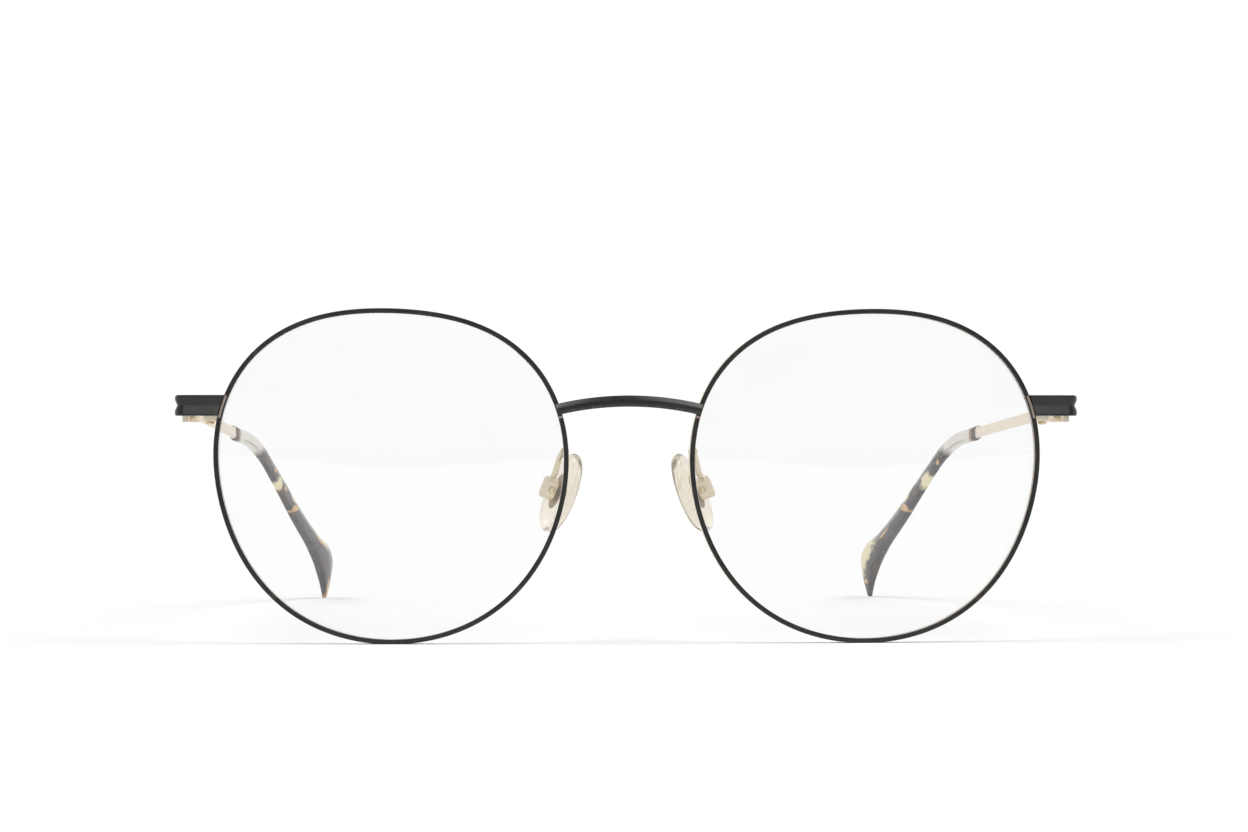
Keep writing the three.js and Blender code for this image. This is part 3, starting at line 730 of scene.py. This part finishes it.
def makeClosingBlocks():
    halves = (("blockUpperLeft", "closing_block_upper_{}", armZ + block["fit"], block["top"]),
              ("blockLowerLeft", "closing_block_lower_{}", block["bottom"], armZ - block["fit"]))
    plan = roundedOutline(block["inner"], block["outer"], frontY + block["front"], frontY + block["back"],
                          block["corner"])
    hole = disc(lock["radius"] + lock["room"], lock["x"], frontY + lock["y"])
    for name, node, low, high in halves:
        piece = newObject(name, *solidPlate(plan, low, high, "Z"))
        carve(piece, eyePrism(rim["face"] / 2 + block["fit"], *pastStrap),
              solidPlate(hole, low - 1, high + 1, "Z"))
        softenEdges(piece, block["soft"])
        finishPair(piece, plainFrame, "front", node, [gold], sharp=50)


def makeScrew(name, radius, headRadius, headHeight, low, neck, slotWide=0.26):
    # stands on Z: shank from low to neck and a domed slotted head above it, in shares of its own sizes
    point, top = radius * 0.33, neck + headHeight
    profile = [(radius * 0.5, low - point * 0.9), (radius * 0.85, low - point * 0.45), (radius, low),
               (radius, neck), (headRadius * 0.96, neck), (headRadius, neck + headHeight * 0.12)]
    for turn in range(0, 90, 15):
        out, rise = around(1, turn)
        profile.append((headRadius * out, neck + headHeight * (0.45 + 0.55 * rise)))
    profile.append((headRadius * 0.08, top))
    piece = newObject(name, *latheTurned(profile))
    carve(piece, slab(-headRadius - 1, headRadius + 1, -slotWide / 2, slotWide / 2,
                      top - headHeight * 0.5, top + 1))
    softenEdges(piece, 0.03, segments=2)
    return piece


def makeLockScrews():
    # its head is below, so it is turned over
    shank = block["top"] - block["bottom"] - lock["short"]
    piece = makeScrew("lockScrewLeft", lock["radius"], lock["headRadius"], lock["headHeight"], 0, shank)
    stand = (Matrix.Translation((lock["x"], frontY + lock["y"], block["bottom"] - lock["sunk"] + shank))
             @ Matrix.Rotation(math.pi, 4, "X"))
    finishPair(piece, stand, "front", "lock_screw_{}", [screwGold], sharp=35)


# ---- hinges
knuckle = dict(radius=1.2, bottom=33.5, top=37.3, middleLow=34.85, middleHigh=36.15, fit=0.05,
               inner=0.35, outer=1.22, length=5.0, strapBack=0.1, webBack=0.3, webIn=0.03, screw=0.45,
               screwRoom=0.04, head=0.8, headRoom=0.06, headHeight=0.45, soft=0.07)


def makeFrontLeaves():
    low, high = knuckle["bottom"], knuckle["top"]
    inner, outer, radius = knuckle["inner"], knuckle["outer"], knuckle["radius"]
    piece = newObject("frontLeafLeft", *slab(inner, outer, -knuckle["length"],
                                             -radius - knuckle["strapBack"], low, high))
    for z0, z1 in ((low, knuckle["middleLow"] - knuckle["fit"]),
                   (knuckle["middleHigh"] + knuckle["fit"], high)):
        weld(piece, solidPlate(disc(radius), z0, z1, "Z"),
             slab(inner, outer - knuckle["webIn"], -radius - knuckle["webBack"], 0.01, z0, z1))
    seat = high - knuckle["headHeight"] - knuckle["fit"]
    carve(piece, solidPlate(disc(knuckle["screw"] + knuckle["screwRoom"]), low - 1, high + 1, "Z"),
          solidPlate(disc(knuckle["head"] + knuckle["headRoom"]), seat, high + 1, "Z"))
    softenEdges(piece, knuckle["soft"])
    finishPair(piece, hingeFrame, "front", "hinge_front_leaf_{}", [gold], sharp=40)


def makeTempleLeaves():
    low, high = knuckle["middleLow"], knuckle["middleHigh"]
    piece = newObject("templeLeafLeft", *solidPlate(disc(knuckle["radius"]), low, high, "Z"))
    weld(piece, slab(knuckle["inner"], knuckle["outer"], 0, knuckle["length"] + 0.5, low, high))
    carve(piece, solidPlate(disc(knuckle["screw"] + knuckle["screwRoom"]), low - 1, high + 1, "Z"))
    softenEdges(piece, knuckle["soft"])
    finishPair(piece, templeFrame, "temple_{}", "hinge_temple_leaf_{}", [gold], sharp=40)


def makeHingeScrews():
    piece = makeScrew("hingeScrewLeft", knuckle["screw"], knuckle["head"], knuckle["headHeight"],
                      knuckle["bottom"] + knuckle["fit"], knuckle["top"] - knuckle["headHeight"])
    finishPair(piece, hingeFrame, "front", "hinge_screw_{}", [screwGold], sharp=35)


# ---- nose pads, on their arms
pad = dict(halfLength=6.4, halfWidth=3.4, thick=2.4, levels=20, coreLength=2.8, coreWidth=1.3,
           coreBack=-0.8, coreFront=-0.42, lugHalf=0.3, lugRadius=0.52, lugRoot=0.2, room=0.06,
           boxHalf=0.95, boxFront=-1.65, boxBack=-3.3, boxLength=1.7, boxCorner=0.8, slotBack=-2.95,
           slotTop=1.0, screwRadius=0.35, screwRoom=0.04, headRadius=0.6, headHeight=0.3)


def bezier(a, b, c, d, steps):
    points = []
    for step in range(steps):
        t = step / steps
        u = 1 - t
        points.append(tuple(u ** 3 * a[i] + 3 * u * u * t * b[i] + 3 * u * t * t * c[i] + t ** 3 * d[i]
                            for i in (0, 1)))
    return points


def padOutline():
    # a soft teardrop as (x, z), fuller towards its top
    long, wide = pad["halfLength"], pad["halfWidth"]
    right = bezier((0, -long), (2.6, -long), (wide, -3.4), (wide, -0.6), 18)
    right += bezier((wide, -0.6), (wide, 2.6), (2.1, long), (0, long), 18)
    left = [(-x, z) for x, z in reversed(right[1:])]
    return right + [(0, long)] + left


def makeNosePads():
    outline = padOutline()
    rings = []
    for i in range(1, pad["levels"]):
        turn = math.radians(-90 + 180 * i / pad["levels"])
        shrink = math.cos(turn) ** 0.42
        depth = pad["thick"] / 2 * math.copysign(abs(math.sin(turn)) ** 0.85, turn)
        rings.append([(x * shrink, depth, z * shrink) for x, z in outline])
    piece = newObject("nosePadLeft", *skinRings(rings))
    finishPair(piece, padFrame, "pad_{}", "nose_pad_{}", [silicone], sharp=80)


def padScrewHole():
    return solidPlate(disc(pad["screwRadius"] + pad["screwRoom"], -padBack, 0, 32), -2, 2, "X")


def makePadCores():
    plate = [(x * pad["coreWidth"], z * pad["coreLength"]) for x, z in disc(1.0, sides=48)]
    piece = newObject("padCoreLeft", *solidPlate(plate, pad["coreBack"], pad["coreFront"], "Y"))
    # an upright lug with a round end, drawn in (Y, Z) and thick along X
    lug, radius, root = pad["lugHalf"], pad["lugRadius"], pad["coreBack"] + pad["lugRoot"]
    arc = [around(radius, turn) for turn in range(90, 271, 10)]
    outline = [(y - padBack, z) for y, z in arc] + [(root, -radius), (root, radius)]
    weld(piece, solidPlate(outline, -lug, lug, "X"))
    carve(piece, padScrewHole())
    softenEdges(piece, 0.05, segments=2)
    finishPair(piece, padFrame, "pad_{}", "pad_core_{}", [darkGold], sharp=40)


def makePadBoxes():
    plan = roundedOutline(-pad["boxHalf"], pad["boxHalf"], -pad["boxLength"], pad["boxLength"],
                          pad["boxCorner"])
    piece = newObject("padBoxLeft", *solidPlate(plan, pad["boxBack"], pad["boxFront"], "Y"))
    gap = pad["lugHalf"] + pad["room"]
    carve(piece, slab(-gap, gap, pad["slotBack"], 0, -3, pad["slotTop"]), padScrewHole())
    softenEdges(piece, 0.3, segments=5)
    finishPair(piece, padFrame, "front", "pad_box_{}", [padGold], sharp=40)


def makePadScrews():
    piece = makeScrew("padScrewLeft", pad["screwRadius"], pad["headRadius"], pad["headHeight"],
                      -pad["boxHalf"] - 0.02, pad["boxHalf"] + 0.03, slotWide=0.2)
    lying = padFrame @ Matrix.Translation((0, -padBack, 0)) @ Matrix.Rotation(-math.pi / 2, 4, "Y")
    finishPair(piece, lying, "front", "pad_screw_{}", [screwGold], sharp=35)


def makePadArms():
    arm = dict(radius=0.45, swell=0.55, swellOver=0.35, room=0.05)  # solder swells it where it meets the rim
    boxTop = padFrame @ Vector((0, -2.5, pad["boxLength"] + arm["room"]))
    line = smoothLine([(9.72, frontY + rim["depth"] + 0.08, 29.0), (9.74, frontY + 3.0, 29.05),
                       (9.95, frontY + 5.0, 28.9), (10.5, frontY + 7.1, 27.7), boxTop + padUp * 0.9,
                       boxTop], 14)
    side = Vector((1, 0, 0))
    rings = []
    travelled = 0.0
    for i, spot in enumerate(line):
        before, after = line[max(i - 1, 0)], line[min(i + 1, len(line) - 1)]
        ahead = (after - before).normalized()
        side = (side - ahead * side.dot(ahead)).normalized()
        up = ahead.cross(side)
        travelled += (spot - before).length
        radius = arm["radius"] * (1 + arm["swell"] * math.exp(-(travelled / arm["swellOver"]) ** 2))
        rings.append([spot + (side * a + up * b) * radius for a, b in disc(1.0, sides=28)])
    piece = newObject("padArmLeft", *skinRings(rings))
    finishPair(piece, plainFrame, "front", "pad_arm_{}", [padGold], sharp=50)


# ---- temples
# seen from the side as (back, up); tipOffset and bar["inner"] place them across
bar = dict(inner=1.3, thick=1.0, half=0.85, startZ=35.8, drop=0.0555, frontY=-1.25, headHalf=1.5,
           headTo=4.0, taperTo=14.0, core=0.45, chamfer=0.1, beforeTip=0.05, headSteps=6, taperSteps=14,
           runSteps=30, coreSteps=10)
tip = dict(start=76.4, thick=2.0, footThin=0.3, fullFrom=2.6, inward=0.323, bend=8.0, ring=40, steps=14,
           squareness=3.4, endShare=0.88, chamferShare=0.97, chamfer=0.12,
           backEdge=[(76.4, 32.75), (86.4, 31.5), (92.6, 29.3), (97.5, 26.1), (103.2, 22.1), (111, 16.5),
                     (118, 12.2), (122.3, 10.2), (124.5, 7.8), (124.3, 4.3), (123.0, 1.1), (122.25, 0.1)],
           frontEdge=[(76.4, 30.35), (86, 29.1), (92, 26.8), (96.4, 24), (101.3, 20.3), (108.2, 14.9),
                      (114.4, 10.4), (117.0, 8.2), (119.1, 6.0), (120.7, 3.6), (121.6, 1.4), (121.95, 0.25)])
coreLine = [(85.5, 30.55), (92.5, 27.9), (98, 24.2), (103.6, 20.1)]
templeMiddle = bar["inner"] + bar["thick"] / 2


def tipOffset(y):
    # how far the tip has bent inwards at y
    past = max(0.0, y - tip["start"])
    return tip["inward"] * (math.hypot(past, tip["bend"]) - tip["bend"])


def squareRing(halfAcross, halfUp, count, power):
    # a rounded rectangle as (across, up), squarer with a higher power
    ring = []
    for i in range(count):
        turn = 2 * math.pi * (i + 0.5) / count
        cos, sin = math.cos(turn), math.sin(turn)
        ring.append((halfAcross * math.copysign(abs(cos) ** (2 / power), cos),
                     halfUp * math.copysign(abs(sin) ** (2 / power), sin)))
    return ring


def makeTempleBars():
    end = tip["start"] - bar["beforeTip"]
    headHalf, half, thin = bar["headHalf"], bar["half"], bar["thick"] / 2

    def barZ(y):
        return bar["startZ"] - bar["drop"] * y

    # (back, up, half height, half thickness) along the bar, then along the core inside the tip
    stations = [(bar["frontY"], armZ, headHalf * 0.9, thin * 0.9),
                (bar["frontY"] + bar["chamfer"], armZ, headHalf, thin)]
    for i in range(1, bar["headSteps"] + 1):
        y = bar["frontY"] + (bar["headTo"] - bar["frontY"]) * i / bar["headSteps"]
        stations.append((y, armZ, headHalf, thin))
    for i in range(1, bar["taperSteps"] + 1):
        t = i / bar["taperSteps"]
        y = bar["headTo"] + (bar["taperTo"] - bar["headTo"]) * t
        ease = t * t * (3 - 2 * t)
        stations.append((y, armZ + (barZ(y) - armZ) * ease, headHalf + (half - headHalf) * ease, thin))
    for i in range(1, bar["runSteps"] + 1):
        y = bar["taperTo"] + (end - bar["taperTo"]) * i / bar["runSteps"]
        stations.append((y, barZ(y), half, thin))
    stations.append((end + 0.02, barZ(end), half * 0.94, thin * 0.92))
    for y, z in smoothLine([(tip["start"], barZ(tip["start"]))] + coreLine, bar["coreSteps"]):
        stations.append((y + 0.02, z, bar["core"], bar["core"]))
    rings = [[(templeMiddle - tipOffset(y) + across, y, z + up)
              for across, up in squareRing(thick, tall, 32, 6)] for y, z, tall, thick in stations]
    piece = newObject("templeBarLeft", *skinRings(rings))
    finishPair(piece, templeFrame, "temple_{}", "temple_bar_{}", [gold], sharp=35)


def makeTempleTips():
    backEdge = smoothLine(tip["backEdge"], tip["steps"])
    frontEdge = smoothLine(tip["frontEdge"], tip["steps"])
    rings, places, edges = [], [], []
    travelled = 0.0
    last = None
    for number, (back, front) in enumerate(zip(backEdge, frontEdge)):
        centre = (back + front) / 2
        travelled += (centre - last).length if last else 0.0
        last = centre
        up = (back - front).normalized()
        tall = (back - front).length / 2
        thickness = tip["footThin"] + (1 - tip["footThin"]) * min(1.0, tall / tip["fullFrom"])
        grow = (tip["endShare"], tip["chamferShare"])[number] if number < 2 else 1.0
        ring = squareRing(tip["thick"] / 2 * thickness * grow, tall * grow, tip["ring"], tip["squareness"])
        if number == 1:
            centre = backEdge[0].lerp(frontEdge[0], 0.5) + Vector((tip["chamfer"], 0))
        spots = [(a, centre + up * b) for a, b in ring]
        rings.append([(templeMiddle - tipOffset(spot.x) + a, spot.x, spot.y) for a, spot in spots])
        places += [(travelled, b, a) for a, b in ring]
        edges += [b / tall for a, b in ring]

    def writePlaces(mesh):
        # what the plastic's shader reads: (along, across, thickness) and how near the back edge
        spots = mesh.attributes.new("tipPlace", "FLOAT_VECTOR", "POINT")
        spots.data.foreach_set("vector", [value for spot in places for value in spot])
        mesh.attributes.new("tipEdge", "FLOAT", "POINT").data.foreach_set("value", edges)

    piece = newObject("templeTipLeft", *skinRings(rings), writePlaces)
    finishPair(piece, templeFrame, "temple_{}", "temple_tip_{}", [tipPlastic["left"]],
               sharp=45, twinFinishes=[tipPlastic["right"]])


makeRims()
makeLenses()
print("rims and lenses made")
makeBridge()
makeEndPieces()
makeClosingBlocks()
makeLockScrews()
print("bridge, end pieces and closing blocks made")
makeFrontLeaves()
makeTempleLeaves()
makeHingeScrews()
print("hinges made")
makeNosePads()
makePadCores()
makePadBoxes()
makePadScrews()
makePadArms()
print("nose pads made")
makeTempleBars()
makeTempleTips()
print("temples made")


# ---- floor and light
def makeFloor():
    look = dict(half=3.0, drop=0.00002, grey=(0.868, 0.868, 0.868, 1), pale=(0.882, 0.882, 0.882, 1))
    half = look["half"]
    floor = newObject("floor", [(-half, -half, 0), (half, -half, 0), (half, half, 0), (-half, half, 0)],
                      [(0, 1, 2, 3)])
    floor.data.transform(Matrix.Translation((0, 0, -look["drop"])))
    material, tree, shader, where = newMaterial("paleFloor")
    cloud = addNode(tree, "TexNoise", {"Vector": where, "Scale": 3.0, "Detail": 2.0})
    colour = mixColour(tree, cloud.outputs[0], look["grey"], look["pale"])
    tree.links.new(colour, shader.inputs["Base Color"])
    shader.inputs["Roughness"].default_value = 0.9
    shader.inputs["Specular IOR Level"].default_value = 0.0
    floor.data.materials.append(material)


def lightStudio():
    # white round the sides and behind, darker overhead and behind the camera, a panel above the camera
    # and a broad soft lamp high on each side
    light = dict(backdrop=1.02, bright=1.0, front=0.2, frontSpan=(-0.95, -0.1), top=0.06,
                 topSpan=(0.25, 0.85), panel=1.6, panelToward=(0, -0.8, 0.6), panelSpan=(0.88, 0.97),
                 lamp=1.25, lampSpread=34, lampTilt=24, lampForward=8)
    world = bpy.data.worlds.new("studio")
    bpy.context.scene.world = world
    world.use_nodes = True
    tree = world.node_tree
    tree.nodes.clear()
    toward = addNode(tree, "TexCoord").outputs["Generated"]
    split = addNode(tree, "SeparateXYZ", {0: toward})
    sides = spread(tree, split.outputs[1], *light["frontSpan"], light["front"], light["bright"])
    height = spread(tree, split.outputs[2], *light["topSpan"], 1.0, light["top"])
    sweep = mathNode(tree, "MULTIPLY", sides, height)
    overCamera = addNode(tree, "VectorMath", {0: toward, 1: light["panelToward"]},
                         operation="DOT_PRODUCT").outputs[1]
    panel = spread(tree, overCamera, *light["panelSpan"], 0.0, light["panel"])
    sweep = mathNode(tree, "ADD", sweep, panel)
    path = addNode(tree, "LightPath")
    plain = mathNode(tree, "MAXIMUM", path.outputs["Is Camera Ray"], path.outputs["Is Transmission Ray"])
    strength = addNode(tree, "Mix", {0: plain, 2: sweep, 3: light["backdrop"]}, data_type="FLOAT").outputs[0]
    lit = addNode(tree, "Background", {"Color": (1, 1, 1, 1), "Strength": strength})
    addNode(tree, "OutputWorld", {"Surface": lit.outputs[0]})
    for side in (-1, 1):
        lamp = bpy.data.objects.new("softLamp", bpy.data.lights.new("softLamp", "SUN"))
        lamp.data.energy = light["lamp"]
        lamp.data.angle = math.radians(light["lampSpread"])
        tilt = Matrix.Rotation(side * math.radians(light["lampTilt"]), 3, "Y")
        lean = Matrix.Rotation(math.radians(light["lampForward"]), 3, "X")
        lamp.rotation_euler = (lean @ tilt).to_euler()
        bpy.context.collection.objects.link(lamp)
    bpy.context.scene.view_settings.view_transform = "Standard"
    bpy.context.scene.view_settings.look = "None"


makeFloor()
lightStudio()

print("scene made")
